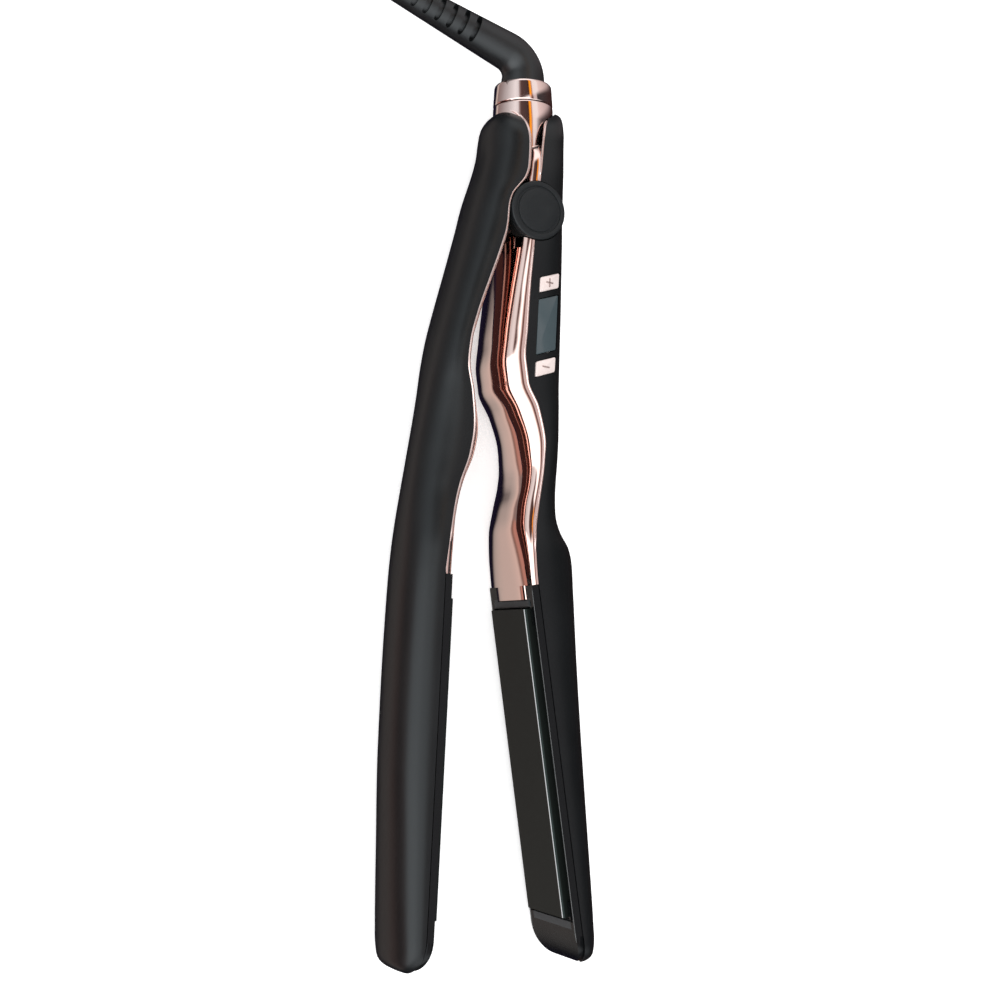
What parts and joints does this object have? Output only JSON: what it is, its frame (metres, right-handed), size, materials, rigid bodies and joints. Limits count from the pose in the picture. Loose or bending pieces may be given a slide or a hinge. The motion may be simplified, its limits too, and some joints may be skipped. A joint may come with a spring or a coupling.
{
  "type": "flat iron",
  "caption": "Hair-straightening flat iron with sprung hinged arms, floating heated plates, a display with push buttons and a swivelling cord boot.",
  "frame": {"origin": "on the hinge axis, in the plane of the lower hinge cap's flat face, on which the iron lies", "axes": "+X from the hinge to the tips along the control arm's plate, +Y to the control arm's outer side, +Z along the hinge axis with the display side up"},
  "size_m": [0.3354, 0.1001, 0.032],
  "materials": {
    "soft_touch_black": "soft-touch satin",
    "rose_gold": "rose-gold vacuum-metallised, polished",
    "pale_rose_gold": "pale rose-gold, satin",
    "carrier_black": "smooth glass-filled nylon",
    "plate_coating": "dark ceramic coating on aluminium",
    "ceramic": "sintered ceramic, stands in for alumina",
    "clamp_aluminium": "pressed sheet",
    "silicone": "matte silicone",
    "sensor_glass": "coated bead",
    "fuse": "tinned case",
    "bracket_steel": "blackened steel",
    "steel": "zinc-plated",
    "spring_steel": "oiled spring steel",
    "lead": "silicone-sleeved copper",
    "board": "solder mask",
    "display_body": "glass and white frame",
    "display_glass": "tinted acrylic over a blank display",
    "switch_black": "moulded",
    "nylon": "natural nylon",
    "cap_black": "matte",
    "boot_rubber": "satin PVC"
  },
  "bodies": {
    "control_arm": {"control_outer_shell": "soft_touch_black", "control_inner_shell": "rose_gold", "control_plate_carrier": "carrier_black", "control_plate_cushions": "silicone", "control_hinge_bracket": "bracket_steel", "control_shell_screws": "steel", "control_leads": "lead", "circuit_board": "board", "display_module": "display_body", "display_window": "display_glass", "button_switches": "switch_black", "hinge_pin": "steel", "hinge_clip": "spring_steel", "hinge_washers": "nylon", "hinge_spring": "spring_steel", "upper_hinge_cap": "cap_black", "lower_hinge_cap": "cap_black", "fixed_collar": "rose_gold"},
    "control_plate_unit": {"control_plate": "plate_coating", "control_heater": "ceramic", "control_heater_clamp": "clamp_aluminium", "control_thermistor": "sensor_glass"},
    "plain_arm": {"plain_outer_shell": "soft_touch_black", "plain_inner_shell": "rose_gold", "plain_plate_carrier": "carrier_black", "plain_plate_cushions": "silicone", "plain_hinge_bracket": "bracket_steel", "plain_shell_screws": "steel", "plain_leads": "lead"},
    "plain_plate_unit": {"plain_plate": "plate_coating", "plain_heater": "ceramic", "plain_heater_clamp": "clamp_aluminium", "plain_thermal_fuse": "fuse"},
    "upper_button": {"upper_button": "pale_rose_gold"},
    "lower_button": {"lower_button": "pale_rose_gold"},
    "cord_swivel": {"swivel_ring": "rose_gold", "swivel_spindle": "nylon", "swivel_washer": "nylon", "strain_relief_boot": "boot_rubber"}
  },
  "joints": [
    {"name": "arm_hinge", "type": "hinge", "parent": "control_arm", "child": "plain_arm", "pos_m": [0, 0, 0.016], "axis": [0, 0, 1], "range_deg": [0, 11], "stiffness_Nm_per_rad": 0.5, "springref_deg": -22.92, "deforming": ["hinge_spring"]},
    {"name": "control_plate_float", "type": "slide", "parent": "control_arm", "child": "control_plate_unit", "axis": [0, 1, 0], "range_m": [0, 0.0006], "stiffness_N_per_m": 3000, "springref_m": -0.002, "deforming": ["control_plate_cushions"]},
    {"name": "plain_plate_float", "type": "slide", "parent": "plain_arm", "child": "plain_plate_unit", "axis": [-0.1908, -0.9816, 0], "range_m": [0, 0.0006], "stiffness_N_per_m": 3000, "springref_m": -0.002, "deforming": ["plain_plate_cushions"]},
    {"name": "upper_button_press", "type": "slide", "parent": "control_arm", "child": "upper_button", "axis": [-0.0348, -0.1789, -0.9833], "range_m": [0, 0.0004], "stiffness_N_per_m": 400, "springref_m": -0.001},
    {"name": "lower_button_press", "type": "slide", "parent": "control_arm", "child": "lower_button", "axis": [-0.0348, -0.1789, -0.9833], "range_m": [0, 0.0004], "stiffness_N_per_m": 400, "springref_m": -0.001},
    {"name": "cord_swivel_turn", "type": "hinge", "parent": "control_arm", "child": "cord_swivel", "pos_m": [-0.03961, 0.00767, 0.016], "axis": [-0.9903, 0.1392, 0], "continuous": true}
  ]
}
